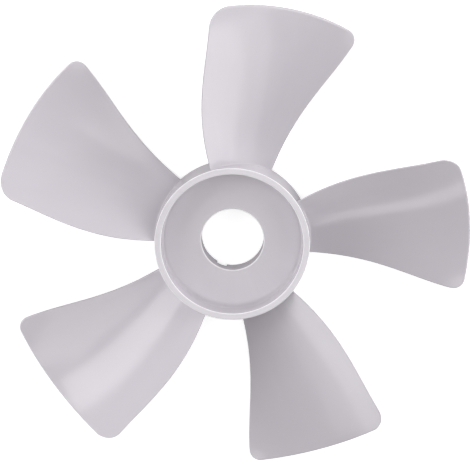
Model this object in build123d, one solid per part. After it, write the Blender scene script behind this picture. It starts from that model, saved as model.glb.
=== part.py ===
from build123d import *
import os
from math import cos, degrees, hypot, pi, radians, tan

# Cooling fan of a lawn tractor: five swept blades round a cup-shaped hub, moulded as one piece.
# Z is the turning axis. The rear end of the collar lies on Z = 0 and the cup opens towards +Z.
# Lengths are in millimetres and angles in degrees.

# Hub
hub_diameter = 57.7
hub_height = 15.6
hub_wall = 2.4
hub_draft = 1.0
cup_depth = 8.2
web_thickness = 2.4
rim_break = 0.4

# Collar and bore
bore_diameter = 23.3
bore_length = 8.9
bore_round = 0.8
collar_wall = 3.0

# Drive slot in the rear end of the collar, at an angle from the first blade
slot_width = 3.9
slot_depth = 3.3
slot_angle = 166.0

# Blades: the root is measured at the hub wall and the tip on the fan's outer circle.
# Camber is a share of the chord, and drop is the depth of the chord's middle below the hub's rim.
blade_count = 5
first_blade_angle = 90.0
fan_diameter = 178.0
root_width = 24.0
tip_width = 57.8
root_pitch = 29.0
tip_pitch = 20.0
root_camber_ratio = 0.07
tip_camber_ratio = 0.105
root_drop = 7.9
tip_drop = 4.9
tip_sweep = 6.9
front_trim = 0.85
front_bow = 1.2
front_corner_round = 7.5
rear_corner_round = 4.3

# Blade thickness in its middle and at its edges, and the soft flare where it grows out of the hub
blade_thickness = 1.9
edge_thickness = 1.0
edge_power = 6
root_flare = 0.6
root_flare_length = 1.6

# Fineness of the blade's skins, and how far they run past the trimmed outline
skin_tolerance = 0.01
root_rows = 6
span_rows = 8
skin_columns = 11
edge_points = 6
skin_overlap = 1.0
skin_reach_ratio = 1.1

hub_radius = hub_diameter / 2
bore_radius = bore_diameter / 2
tip_radius = fan_diameter / 2
root_radius = hub_radius - hub_wall / 2
cup_floor = bore_length
hub_front = cup_floor + cup_depth
hub_rear = hub_front - hub_height
web_rear = cup_floor - web_thickness


def spread(start, end, count):
    return [start + (end - start) * step / (count - 1) for step in range(count)]


# Hub section: a drafted outer wall, the cup floor as a web inside it, and the collar behind the bore
def hub_body():
    lean = tan(radians(hub_draft))
    rear_radius = hub_radius + hub_height * lean
    cup_radius = hub_radius - hub_wall
    skirt_radius = rear_radius - hub_wall
    collar_radius = bore_radius + collar_wall
    corners = [
        ((hub_radius, hub_front), 0),
        ((cup_radius, hub_front), 0),
        ((cup_radius - cup_depth * lean, cup_floor), 0),
        ((bore_radius, cup_floor), bore_round),
        ((bore_radius, 0), 0),
        ((collar_radius, 0), 0),
        ((collar_radius + web_rear * lean, web_rear), 0),
        ((skirt_radius - (web_rear - hub_rear) * lean, web_rear), 0),
        ((skirt_radius, hub_rear), 0),
        ((rear_radius, hub_rear), 0),
    ]
    points = [point for point, bend in corners]
    bends = [bend for point, bend in corners]
    section = make_face(Plane.XZ * FilletPolyline(*points, radius=bends, close=True))
    hub = revolve(section, Axis.Z)
    return chamfer(hub.edges().group_by(Axis.Z)[-1], rim_break)


# Half the blade's thickness: it thins towards both edges and swells softly at the root
def half_thickness(radius, across):
    thinning = (1 - edge_thickness / blade_thickness) * across**edge_power
    nearness = 1 - (radius - hub_radius) / root_flare_length
    flare = root_flare * min(1, max(0, nearness)) ** 2 * max(0, 1 - across**2)
    return blade_thickness / 2 * (1 - thinning) + flare


# A point of the blade that lies along +X. Across runs from -1 at the rear edge to 1 at the front edge,
# and side is 1 on the front skin, -1 on the rear skin and 0 midway between them.
# Width and camber grow evenly outwards, the pitch eases off, and the blade leans back in a soft S.
# The front edge is set back at the root and the tip, and bows out between them.
def blade_point(radius, across, side=0):
    share = (radius - hub_radius) / (tip_radius - hub_radius)
    half_width = (root_width + (tip_width - root_width) * share) / 2
    pitch = radians(root_pitch + (tip_pitch - root_pitch) * share**2)
    camber = root_camber_ratio + (tip_camber_ratio - root_camber_ratio) * share
    drop = tip_drop + (root_drop - tip_drop) * (1 - share) ** 2
    sweep = radians(tip_sweep) * (1 - cos(pi * share)) / 2
    sag = 2 * camber * half_width / cos(pitch) * (1 - across**2)
    slope = tan(pitch) + 4 * camber * across / cos(pitch)
    middle = hub_front - drop + across * half_width * tan(pitch) - sag
    height = middle + side * half_thickness(radius, across) * hypot(1, slope)
    bow = (4 * front_bow * share * (1 - share) - front_trim) * (1 + across) / 2
    angle = (across * half_width + bow) / radius - sweep
    return Vector(radius, 0, height).rotate(Axis.Z, degrees(angle))


def blade_skin(side):
    flare_end = hub_radius + root_flare_length
    radii = spread(root_radius - skin_overlap, flare_end, root_rows)
    radii += spread(flare_end, tip_radius + skin_overlap, span_rows)[1:]
    stations = spread(-skin_reach_ratio, skin_reach_ratio, skin_columns)
    grid = [[blade_point(radius, across, side) for across in stations] for radius in radii]
    return Face.make_surface_from_array_of_points(grid, tol=skin_tolerance)


# Plan of the blade: two swept edges, an arc on the fan's outer circle and two rounded tip corners
def blade_plan():
    def plan_point(radius, across):
        point = blade_point(radius, across)
        return (point.X, point.Y)

    radii = spread(root_radius, tip_radius, edge_points)
    front = Spline(*[plan_point(radius, 1) for radius in radii])
    rear = Spline(*[plan_point(radius, -1) for radius in radii])
    tip = ThreePointArc(front @ 1, plan_point(tip_radius, 0), rear @ 1)
    root = ThreePointArc(front @ 0, plan_point(root_radius, 0), rear @ 0)
    plan = make_face([front, tip, rear, root])
    plan = fillet(plan.vertices().sort_by_distance(front @ 1)[0], front_corner_round)
    return fillet(plan.vertices().sort_by_distance(rear @ 1)[0], rear_corner_round)


# The blade is what lies inside its plan, behind the front skin and in front of the rear skin
def blade_body():
    depth = hub_front + tip_width
    behind_front = extrude(blade_skin(1), depth, dir=(0, 0, -1))
    before_rear = extrude(blade_skin(-1), depth, dir=(0, 0, 1))
    return extrude(blade_plan(), depth, both=True) & behind_front & before_rear


def slot_cutter():
    reach = bore_radius + 2 * collar_wall
    cutter = Box(reach, slot_width, 2 * slot_depth, align=(Align.MIN, Align.CENTER, Align.CENTER))
    return Rot(Z=first_blade_angle + slot_angle) * cutter


def cooling_fan():
    blade = blade_body()
    turns = [first_blade_angle + 360 / blade_count * step for step in range(blade_count)]
    fan = hub_body() + [Rot(Z=turn) * blade for turn in turns]
    return fan - slot_cutter()


os.makedirs("parts", exist_ok=True)
export_step(cooling_fan(), "parts/cooling_fan.step")
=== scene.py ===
from math import cos, radians, sin, tan

import bmesh
import bpy
import numpy as np
from mathutils import Matrix, Vector


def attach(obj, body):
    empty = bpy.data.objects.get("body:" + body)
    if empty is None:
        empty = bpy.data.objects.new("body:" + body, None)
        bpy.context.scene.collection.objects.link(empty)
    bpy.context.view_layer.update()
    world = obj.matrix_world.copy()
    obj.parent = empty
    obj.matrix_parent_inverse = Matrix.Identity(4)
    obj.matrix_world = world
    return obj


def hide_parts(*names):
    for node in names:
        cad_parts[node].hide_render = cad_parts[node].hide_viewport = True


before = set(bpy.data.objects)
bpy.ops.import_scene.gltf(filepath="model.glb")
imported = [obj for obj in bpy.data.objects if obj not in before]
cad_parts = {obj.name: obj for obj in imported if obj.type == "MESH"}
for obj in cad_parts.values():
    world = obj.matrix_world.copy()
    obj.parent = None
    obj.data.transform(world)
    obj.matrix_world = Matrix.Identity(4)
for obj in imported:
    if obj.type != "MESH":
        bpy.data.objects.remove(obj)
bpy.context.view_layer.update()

scene = bpy.context.scene
print("frame loaded:", sorted(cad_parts))

# camera: looks down the fan's axis, leaning a little towards the top of the picture
cameraValues = {
    "rim": (0, 0, 0.0171),  # middle of the hub's rim
    "roll": 6.14,  # picture right, as an angle round the axis
    "lean": 12.77,
    "yaw": -1.13,
    "distance": 0.9907,
    "lens": 204.7,
    "sensor": 36,
    "clip": (0.01, 20),
    "step": (0.00111, 0.00356),  # sideways and up, for the framing
}


def makeCamera(v):
    lean, yaw = radians(v["lean"]), radians(v["yaw"])
    axes = Matrix((
        (cos(yaw), sin(yaw) * sin(lean), -sin(yaw) * cos(lean)),
        (0, cos(lean), sin(lean)),
        (sin(yaw), -cos(yaw) * sin(lean), cos(yaw) * cos(lean)),
    ))
    axes = Matrix.Rotation(radians(v["roll"]), 3, "Z") @ axes
    right, up, back = axes.col[0], axes.col[1], axes.col[2]
    data = bpy.data.cameras.new("studioCamera")
    data.lens, data.sensor_width = v["lens"], v["sensor"]
    data.clip_start, data.clip_end = v["clip"]
    camera = bpy.data.objects.new("studioCamera", data)
    scene.collection.objects.link(camera)
    place = Vector(v["rim"]) + back * v["distance"] + right * v["step"][0] + up * v["step"][1]
    camera.matrix_world = Matrix.Translation(place) @ axes.to_4x4()
    scene.camera = camera
    return axes


viewAxes = makeCamera(cameraValues)
print("camera set")

# light: soft boxes all round, placed where the photograph's reflections show them and as bright as its
# shading needs. Azimuth runs round from the right of the picture, elevation from the picture's plane
# up to the camera, both in degrees
lightValues = {
    "reach": 1.2,
    "middle": (0, 0, 0),
    "strength": 40.0,  # watts for each square metre of a box with glow 1
    "surround": 0.03,
    "backdrop": 0.78,  # what the camera sees past the floor
    # name, azimuth, width, lowest and highest elevation, glow, and whether the fan mirrors the box
    "boxes": [
        ("right", 20, 60, 4, 32, 0.25, False),
        ("farRight", 62, 34, 0, 24, 0.1, False),
        ("rightHigh", 12, 54, 34, 54, 0.18, True),
        ("rightOver", 345, 60, 60, 80, 0.19, True),
        ("rightNear", 334, 34, -8, 20, 0.11, True),
        ("rightNearHigh", 331, 30, -8, 34, 0.11, True),
        ("far", 92, 40, 14, 46, 0.18, False),
        ("left", 182, 50, 6, 32, 0.32, False),
        ("leftHigh", 158, 44, 36, 53.5, 0.27, True),
        ("leftTop", 196, 60, 58, 78, 0.13, True),
        ("leftNear", 221, 38, -12, 3, 0.2, True),
        ("leftNearHigh", 219, 32, 3, 16, 0.055, True),
        ("nearStrip", 276, 36, 1, 8, 0.18, True),
        ("near", 268, 27, 57, 72, 0.22, True),
    ],
}


def makeLights(v):
    for name, azimuth, width, low, high, glow, shine in v["boxes"]:
        turn, rise = radians(azimuth), radians((low + high) / 2)
        out = Vector((cos(turn) * cos(rise), sin(turn) * cos(rise), sin(rise)))
        side = Vector((-sin(turn), cos(turn), 0))
        axes = viewAxes @ Matrix((side, out.cross(side), out)).transposed()
        data = bpy.data.lights.new(name + "Box", "AREA")
        data.shape = "RECTANGLE"
        data.size = 2 * v["reach"] * tan(radians(width / 2)) * cos(rise)
        data.size_y = 2 * v["reach"] * tan(radians(high - low) / 2)
        data.energy = v["strength"] * glow * data.size * data.size_y
        lamp = bpy.data.objects.new(name + "Box", data)
        lamp.visible_glossy = shine
        scene.collection.objects.link(lamp)
        place = Vector(v["middle"]) + axes.col[2] * v["reach"]
        lamp.matrix_world = Matrix.Translation(place) @ axes.to_4x4()


# studio only: one value for what the camera sees and another for the light that reaches the fan
def splitForCamera(tree, others, camera, target):
    path, seen = tree.nodes.new("ShaderNodeLightPath"), tree.nodes.new("ShaderNodeMapRange")
    seen.inputs["To Min"].default_value = others
    seen.inputs["To Max"].default_value = camera
    tree.links.new(path.outputs["Is Camera Ray"], seen.inputs["Value"])
    tree.links.new(seen.outputs["Result"], target)


def makeSurround(v):
    world = bpy.data.worlds.new("studioSurround")
    world.use_nodes = True
    background = world.node_tree.nodes["Background"]
    background.inputs["Color"].default_value = (1, 1, 1, 1)
    splitForCamera(world.node_tree, v["surround"], v["backdrop"], background.inputs["Strength"])
    scene.world = world


makeLights(lightValues)
makeSurround(lightValues)
scene.view_settings.view_transform = "Standard"
print("lights set:", len(lightValues["boxes"]))

# floor: a pale table. The camera alone sees a glow over it, so the shadows stay faint
floorValues = {"half": 3.0, "colour": (0.7, 0.7, 0.7), "roughness": 0.9, "glow": 0.7}


def makeFloor(v):
    h = v["half"]
    mesh = bpy.data.meshes.new("studioFloor")
    mesh.from_pydata([(-h, -h, 0), (h, -h, 0), (h, h, 0), (-h, h, 0)], [], [(0, 1, 2, 3)])
    material = bpy.data.materials.new("paleFloor")
    material.use_nodes = True
    shader = material.node_tree.nodes["Principled BSDF"]
    shader.inputs["Base Color"].default_value = (*v["colour"], 1)
    shader.inputs["Roughness"].default_value = v["roughness"]
    shader.inputs["Emission Color"].default_value = (1, 1, 1, 1)
    splitForCamera(material.node_tree, 0, v["glow"], shader.inputs["Emission Strength"])
    mesh.materials.append(material)
    floor = bpy.data.objects.new("studioFloor", mesh)
    scene.collection.objects.link(floor)


makeFloor(floorValues)
print("floor laid")

# fan: one moulded piece, a cup-shaped hub that carries five swept blades. Lengths are in metres
joinValues = {"merge": 2e-7, "collapse": 1e-7, "sharpAngle": 38}


# outline with rounded corners: each corner is cut back to its tangent points, and the arc between them
# turns evenly from the first radius to the second about the corner's centre
def roundedOutline(corners, rounds, steps):
    p, r = np.array(corners), np.array(rounds)[:, None]
    before, after = np.roll(p, 1, 0) - p, np.roll(p, -1, 0) - p
    before /= np.linalg.norm(before, axis=1, keepdims=True)
    after /= np.linalg.norm(after, axis=1, keepdims=True)
    half = np.arccos((before * after).sum(1, keepdims=True)) / 2
    middle = before + after
    centre = p + middle / np.linalg.norm(middle, axis=1, keepdims=True) * r / np.sin(half)
    start = p + before * r / np.tan(half) - centre
    end = p + after * r / np.tan(half) - centre
    turn, t = (np.pi - 2 * half)[:, None], np.linspace(0, 1, steps)[None, :, None]
    arc = start[:, None] * np.sin((1 - t) * turn) + end[:, None] * np.sin(t * turn)
    return (centre[:, None] + arc / np.sin(turn)).reshape(-1, 2)


# quads of a grid of points, joined to its start along the ways that close
def gridFaces(rows, columns, closeRows=False, closeColumns=False):
    lines = np.arange(rows if closeRows else rows - 1)
    places = np.arange(columns if closeColumns else columns - 1)
    i, j = np.meshgrid(lines, places, indexing="ij")
    up, along = (i + 1) % rows, (j + 1) % columns
    quads = [i * columns + j, up * columns + j, up * columns + along, i * columns + along]
    return np.stack(quads, -1).reshape(-1, 4)


# closed mesh from points and quads: doubles merged, faces turned outwards
def closedMesh(name, points, faces):
    mesh = bpy.data.meshes.new(name)
    mesh.from_pydata(points.reshape(-1, 3), [], faces)
    work = bmesh.new()
    work.from_mesh(mesh)
    bmesh.ops.remove_doubles(work, verts=work.verts, dist=joinValues["merge"])
    bmesh.ops.dissolve_degenerate(work, edges=work.edges, dist=joinValues["collapse"])
    bmesh.ops.recalc_face_normals(work, faces=work.faces)
    work.to_mesh(mesh)
    work.free()
    piece = bpy.data.objects.new(name, mesh)
    scene.collection.objects.link(piece)
    return piece


hubValues = {
    "radius": 0.02885, "front": 0.0171, "height": 0.0156, "wall": 0.0024,
    "draft": 1.0,  # degrees
    "cupDepth": 0.0082, "web": 0.0024, "bore": 0.01165, "collar": 0.003,
    "rimRound": 0.0004, "cupRound": 0.0012, "boreRound": 0.0005, "backRound": 0.0004,
    "arcSteps": 7, "turnSteps": 240,
}


# hub: the rounded section of wall, web and collar, turned once round the axis
def makeHub(v):
    lean = np.tan(np.radians(v["draft"]))
    floor, rear = v["front"] - v["cupDepth"], v["front"] - v["height"]
    webRear, collar = floor - v["web"], v["bore"] + v["collar"]
    wide, cup = v["radius"] + v["height"] * lean, v["radius"] - v["wall"]
    corners = np.array([
        (v["radius"], v["front"], v["rimRound"]),
        (cup, v["front"], v["rimRound"]),
        (cup - v["cupDepth"] * lean, floor, v["cupRound"]),
        (v["bore"], floor, v["boreRound"]),
        (v["bore"], 0, v["backRound"]),
        (collar, 0, v["backRound"]),
        (collar + webRear * lean, webRear, v["backRound"]),
        (wide - v["wall"] - (webRear - rear) * lean, webRear, v["backRound"]),
        (wide - v["wall"], rear, v["backRound"]),
        (wide, rear, v["backRound"]),
    ])
    outline = roundedOutline(corners[:, :2], corners[:, 2], v["arcSteps"])
    turn = np.linspace(0, 2 * np.pi, v["turnSteps"], endpoint=False)[:, None]
    r, z = outline[None, :, 0], outline[None, :, 1]
    points = np.stack(np.broadcast_arrays(r * np.cos(turn), r * np.sin(turn), z), -1)
    return closedMesh("fanHub", points, gridFaces(*points.shape[:2], True, True))


# angles are in degrees, and camber is a share of the chord
bladeValues = {
    "count": 5, "firstAngle": 90.0, "tipRadius": 0.089,
    "rootWidth": 0.024, "tipWidth": 0.0578, "rootPitch": 29.0, "tipPitch": 20.0,
    "rootCamber": 0.07, "tipCamber": 0.105, "rootDrop": 0.0079, "tipDrop": 0.0049, "sweep": 6.9,
    "frontTrim": 0.00085, "frontBow": 0.0012, "frontCorner": 0.0075, "rearCorner": 0.0043,
    "thickness": 0.0019, "edgeThickness": 0.001, "edgePower": 6, "edgeRound": 0.0005,
    "rootRound": 0.0009, "rootLead": 0.15, "inside": 0.0012,  # how the root enters the hub's wall
    "tipRows": 18, "spanRows": 34, "rootRows": 8, "edgeColumns": 7, "midColumns": 30,
    "edgeSteps": 400, "cornerSearch": 4,  # fineness and width of the search for a tip corner's centre
}


# laws along the blade, by the share of the way out: width and camber grow evenly, the pitch changes
# with the square of the share and the drop with the square of what is left of it, the sweep follows
# half a cosine wave, and the front edge is set back and bows out in a parabola
def bladeLaws(r, v):
    share = (r - hubValues["radius"]) / (v["tipRadius"] - hubValues["radius"])
    halfWidth = (v["rootWidth"] + (v["tipWidth"] - v["rootWidth"]) * share) / 2
    pitch = np.radians(v["rootPitch"] + (v["tipPitch"] - v["rootPitch"]) * share**2)
    camber = v["rootCamber"] + (v["tipCamber"] - v["rootCamber"]) * share
    drop = v["tipDrop"] + (v["rootDrop"] - v["tipDrop"]) * (1 - share) ** 2
    sweep = np.radians(v["sweep"]) * (1 - np.cos(np.pi * share)) / 2
    bow = 4 * v["frontBow"] * share * (1 - share) - v["frontTrim"]
    return halfWidth, pitch, camber, drop, sweep, bow


# where a blade edge lies across the chord: on the edge itself, and near the tip on the corner's arc,
# which touches the edge and the fan's outer circle. Its centre is one corner radius inside that circle,
# where the edge is one corner radius away too
def edgeLine(r, side, corner, v):
    rows = np.linspace(hubValues["radius"], v["tipRadius"], v["edgeSteps"])
    halfWidth, _, _, _, sweep, bow = bladeLaws(rows, v)
    angle = (side * halfWidth + bow * (1 + side) / 2) / rows - sweep
    edge = np.stack([rows * np.cos(angle), rows * np.sin(angle)], -1)
    inner = v["tipRadius"] - corner
    reach = v["cornerSearch"] * corner / v["tipRadius"]
    tries = angle[-1] - side * np.linspace(0, reach, v["edgeSteps"])
    centres = inner * np.stack([np.cos(tries), np.sin(tries)], -1)
    gap = np.linalg.norm(centres[:, None] - edge[None], axis=-1).min(1)
    first = np.argmin(gap)
    middle = np.interp(corner, gap[first:], tries[first:])
    centre = inner * np.array([np.cos(middle), np.sin(middle)])
    touch = rows[np.argmin(np.linalg.norm(centre - edge, axis=-1))]
    halfWidth, _, _, _, sweep, bow = bladeLaws(r, v)
    share = (r**2 + inner**2 - corner**2) / (2 * r * inner)
    arc = (middle + side * np.arccos(np.clip(share, -1, 1)) + sweep) * r
    return np.where(r < touch, side, (arc - bow / 2) / (halfWidth + bow / 2))


# radii of the blade's rows: a quarter turn's cosine at the tip corners, even steps along the span,
# a quarter turn's sine in the root's round, and one last row inside the hub's wall
def bladeRows(wall, v):
    tipTurn = np.linspace(0, np.pi / 2, v["tipRows"])
    rootTurn = np.linspace(0, np.pi / 2, v["rootRows"])
    tip = v["tipRadius"] - v["frontCorner"] * (1 - np.cos(tipTurn))
    root = wall + v["rootRound"] * (1 - np.sin(rootTurn))
    span = np.linspace(tip[-1], root[0], v["spanRows"])[1:-1]
    return np.concatenate([tip, span, root, [wall - v["inside"]]])


# places of the blade's columns across the chord, from the rear edge to the front edge: a quarter turn
# in each edge's round and even steps between. A round opens by the sine of that turn
def bladeColumns(r, halfWidth, pitch, v):
    rear = edgeLine(r, -1, v["rearCorner"], v)[:, None]
    front = edgeLine(r, 1, v["frontCorner"], v)[:, None]
    bend = np.linspace(0, np.pi / 2, v["edgeColumns"])
    inset = v["edgeRound"] * (1 - np.cos(bend)) * np.cos(pitch) / halfWidth
    low, high = rear + inset, front - inset[:, ::-1]
    share = np.linspace(0, 1, v["midColumns"])[1:-1]
    middle = low[:, -1:] + (high[:, :1] - low[:, -1:]) * share
    across = np.concatenate([low, middle, high], 1)
    opening = np.concatenate([np.sin(bend), np.ones_like(share), np.sin(bend[::-1])])
    return across, opening


# half the thickness: it thins towards the edges by a power of the place across, closes in a half round
# there and at the tip, and swells in a round where it enters the hub's wall
def bladeHalf(r, across, opening, wall, v):
    left = np.clip((v["tipRadius"] - r) / v["edgeRound"], 0, 1)[:, None]
    closing = opening * np.sqrt(1 - (1 - left) ** 2)
    near = np.clip((r - wall) / v["rootRound"] + v["rootLead"], 0, 1)[:, None]
    swell = v["rootRound"] * (1 - np.sqrt(1 - (1 - near) ** 2)) * np.clip(1 - across**2, 0, 1)
    thin = 1 - (1 - v["edgeThickness"] / v["thickness"]) * across ** v["edgePower"]
    return (v["thickness"] / 2 * thin + swell) * closing


# blade: the middle surface rises across the chord by the pitch and sags by the camber in a parabola,
# and each skin lies half the thickness from it, square to its slope. The five blades are turned round
# the axis
def makeBlades(v):
    wall = hubValues["radius"] + v["rootDrop"] * np.tan(np.radians(hubValues["draft"]))
    r = bladeRows(wall, v)
    halfWidth, pitch, camber, drop, sweep, bow = (law[:, None] for law in bladeLaws(r, v))
    across, opening = bladeColumns(r, halfWidth, pitch, v)
    slope = np.tan(pitch) + 4 * camber * across / np.cos(pitch)
    sag = 2 * camber * halfWidth / np.cos(pitch) * (1 - across**2)
    height = hubValues["front"] - drop + across * halfWidth * np.tan(pitch) - sag
    lift = bladeHalf(r, across, opening, wall, v) * np.hypot(1, slope)
    skins = np.stack([height + lift, height - lift])
    angle = (across * halfWidth + bow * (1 + across) / 2) / r[:, None] - sweep
    turns = np.radians(v["firstAngle"] + 360 / v["count"] * np.arange(v["count"]))
    turns = turns[:, None, None, None] + angle
    radius = np.broadcast_to(r[:, None], angle.shape)
    points = np.stack(np.broadcast_arrays(radius * np.cos(turns), radius * np.sin(turns), skins), -1)
    rows, columns = angle.shape
    size = rows * columns
    skin, last = gridFaces(rows, columns), (rows - 1) * columns + np.arange(columns - 1)
    end = np.stack([last, last + 1, last + 1 + size, last + size], -1)
    one = np.concatenate([skin, skin[:, ::-1] + size, end])
    faces = one[None] + 2 * size * np.arange(v["count"])[:, None, None]
    return closedMesh("fanBlades", points, faces.reshape(-1, 4))


slotValues = {"width": 0.0039, "depth": 0.0033, "angle": 256.0}


# slot: a straight cutter from the axis out past the collar, through its rear end
def makeSlot(v):
    turn = np.radians(v["angle"])
    along = np.array([np.cos(turn), np.sin(turn), 0])
    side = np.array([-np.sin(turn), np.cos(turn), 0])
    upward = np.array([0, 0, 1])
    reach = np.array([0, hubValues["bore"] + 2 * hubValues["collar"]])[:, None, None, None] * along
    width = np.array([-0.5, 0.5])[None, :, None, None] * v["width"] * side
    depth = np.array([-1, 1])[None, None, :, None] * v["depth"] * upward
    points = (reach + width + depth).reshape(-1, 3)
    faces = [(0, 1, 3, 2), (4, 6, 7, 5), (0, 4, 5, 1), (2, 3, 7, 6), (0, 2, 6, 4), (1, 5, 7, 3)]
    return closedMesh("slotCutter", points, np.array(faces))


# the blades are fused with the hub and the slot is cut, so the fan is one closed skin
def fuseFan(hub, blades, slot):
    for tool, operation in ((blades, "UNION"), (slot, "DIFFERENCE")):
        step = hub.modifiers.new(tool.name, "BOOLEAN")
        step.object, step.operation, step.solver = tool, operation, "MANIFOLD"
    ready = hub.evaluated_get(bpy.context.evaluated_depsgraph_get())
    mesh = bpy.data.meshes.new_from_object(ready)
    mesh.name = "fanBody"
    work = bmesh.new()  # many-sided faces at the joins are split, so the exported skin stays closed
    work.from_mesh(mesh)
    bmesh.ops.triangulate(work, faces=[face for face in work.faces if len(face.verts) > 4])
    work.to_mesh(mesh)
    work.free()
    mesh.shade_smooth()
    mesh.set_sharp_from_angle(angle=radians(joinValues["sharpAngle"]))
    for helper in (hub, blades, slot):
        bpy.data.objects.remove(helper)
    fan = bpy.data.objects.new("fanBody", mesh)
    scene.collection.objects.link(fan)
    even = fan.modifiers.new("evenNormals", "WEIGHTED_NORMAL")
    even.keep_sharp = True
    return fan


fan = fuseFan(makeHub(hubValues), makeBlades(bladeValues), makeSlot(slotValues))
print("fan fused:", len(fan.data.polygons), "faces")

# painted highlights: the rounds of the rim and of the bore's front end are painted lighter, as a
# highlight, by the sine of twice the skin's tilt, which is most halfway from flat to upright. The rim's
# flat face gets a little painted highlight too
highlightValues = {"margin": 1.15, "start": 0.2, "full": 0.75, "rimFace": 0.18}


def markPaintedHighlights(piece, v, hub):
    mesh = piece.data
    co, normal = np.empty(len(mesh.vertices) * 3), np.empty(len(mesh.vertices) * 3)
    mesh.vertices.foreach_get("co", co)
    mesh.vertex_normals.foreach_get("vector", normal)
    x, y, z = co.reshape(-1, 3).T
    r, lift = np.hypot(x, y), normal.reshape(-1, 3)[:, 2]
    bend = 2 * lift * np.sqrt(np.clip(1 - lift**2, 0, 1))
    highlight = np.clip((bend - v["start"]) / (v["full"] - v["start"]), 0, 1)
    atFront = hub["front"] - z < v["margin"] * hub["rimRound"]
    highlight = np.where(atFront, np.maximum(highlight, v["rimFace"] * lift), highlight)
    onRim = atFront & (r < hub["radius"] + hub["rimRound"])
    fromFloor, reach = np.abs(hub["front"] - hub["cupDepth"] - z), v["margin"] * hub["boreRound"]
    onBore = (fromFloor < reach) & (r < hub["bore"] + reach)
    # this mark says how much painted highlight each point gets
    mark = mesh.attributes.new("paintedEdgeHighlight", "FLOAT", "POINT")
    mark.data.foreach_set("value", np.where(onRim | onBore, highlight, 0).astype(np.float32))
    print("rubbed edges marked:", np.count_nonzero(onRim | onBore), "points")


markPaintedHighlights(fan, highlightValues, hubValues)

# plastic: pale moulded polypropylene, satin. The tint drifts slowly, faint flow lines run outwards from
# the hub, and the skin has a shallow ripple, a fine grain and small changes of gloss
plasticValues = {
    "pale": (0.667, 0.631, 0.679), "deep": (0.637, 0.602, 0.649),
    # the last colour is a painted highlight, laid on the rounds of the rim and the bore
    "flowTint": (0.632, 0.597, 0.645), "paintedHighlight": (0.95, 0.93, 0.96),
    "driftScale": 24.0, "driftDetail": 2.0,
    "flowLines": 15.0, "flowStretch": 30.0, "flowDetail": 2.0, "flowShare": 0.35,
    "roughness": (0.11, 0.16), "glossScale": 75.0, "glossDetail": 3.0,
    "rippleScale": 95.0, "rippleDetail": 1.0, "rippleHeight": 0.000012,
    "grainScale": 1500.0, "grainDetail": 2.0, "grainHeight": 0.000012,
    "noiseRange": (0.3, 0.7),  # what is used of the noise's own range
    "ior": 1.49,
}


def makePlastic(v):
    material = bpy.data.materials.new("fanPlastic")
    material.use_nodes = True
    nodes, links = material.node_tree.nodes, material.node_tree.links
    shader = nodes["Principled BSDF"]
    shader.inputs["IOR"].default_value = v["ior"]
    place = nodes.new("ShaderNodeTexCoord").outputs["Object"]

    def noise(scale, detail, where=place):
        node = nodes.new("ShaderNodeTexNoise")
        node.inputs["Scale"].default_value = scale
        node.inputs["Detail"].default_value = detail
        links.new(where, node.inputs["Vector"])
        return node.outputs["Fac"]

    def spread(value, low, high):
        node = nodes.new("ShaderNodeMapRange")
        node.inputs["From Min"].default_value, node.inputs["From Max"].default_value = v["noiseRange"]
        node.inputs["To Min"].default_value, node.inputs["To Max"].default_value = low, high
        links.new(value, node.inputs["Value"])
        return node.outputs["Result"]

    def vector(operation, first, second=None, scale=None):
        node = nodes.new("ShaderNodeVectorMath")
        node.operation = operation
        links.new(first, node.inputs[0])
        if isinstance(second, tuple):
            node.inputs[1].default_value = second
        elif second:
            links.new(second, node.inputs[1])
        if scale:
            node.inputs["Scale"].default_value = scale
        return node.outputs["Value" if operation == "LENGTH" else "Vector"]

    def blend(factor, first, second):
        node = nodes.new("ShaderNodeMix")
        node.data_type = "RGBA"
        links.new(factor, node.inputs["Factor"])
        for socket, colour in (("A_Color", first), ("B_Color", second)):
            target = next(s for s in node.inputs if s.identifier == socket)
            if isinstance(colour, tuple):
                target.default_value = (*colour, 1)
            else:
                links.new(colour, target)
        return next(s for s in node.outputs if s.identifier == "Result_Color")

    # flow lines: noise on the direction round the axis, drawn out along the radius
    flat = vector("MULTIPLY", place, (1, 1, 0))
    rise = nodes.new("ShaderNodeCombineXYZ")
    links.new(vector("LENGTH", flat), rise.inputs["Z"])
    along = vector("SCALE", rise.outputs["Vector"], scale=v["flowStretch"])
    around = vector("SCALE", vector("NORMALIZE", flat), scale=v["flowLines"])
    lines = noise(1.0, v["flowDetail"], vector("ADD", around, along))

    # colour: the drift, the flow lines over it, and the painted edge highlights on top
    drift = spread(noise(v["driftScale"], v["driftDetail"]), 0.0, 1.0)
    tone = blend(drift, v["deep"], v["pale"])
    tone = blend(spread(lines, 0.0, v["flowShare"]), tone, v["flowTint"])
    # painted highlight: the colour turns lighter where the mark says
    paintedHighlight = nodes.new("ShaderNodeAttribute")
    paintedHighlight.attribute_name = "paintedEdgeHighlight"
    links.new(blend(paintedHighlight.outputs["Fac"], tone, v["paintedHighlight"]), shader.inputs["Base Color"])
    gloss = spread(noise(v["glossScale"], v["glossDetail"]), *v["roughness"])
    links.new(gloss, shader.inputs["Roughness"])

    # the grain rides on the ripple
    bumps = None
    for name in ("ripple", "grain"):
        bump = nodes.new("ShaderNodeBump")
        bump.inputs["Distance"].default_value = v[name + "Height"]
        links.new(noise(v[name + "Scale"], v[name + "Detail"]), bump.inputs["Height"])
        if bumps:
            links.new(bumps, bump.inputs["Normal"])
        bumps = bump.outputs["Normal"]
    links.new(bumps, shader.inputs["Normal"])
    return material


plastic = makePlastic(plasticValues)
print("plastic made:", len(plastic.node_tree.nodes), "nodes")
fan.data.materials.clear()
fan.data.materials.append(plastic)
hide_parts("cooling_fan")
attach(fan, "root")
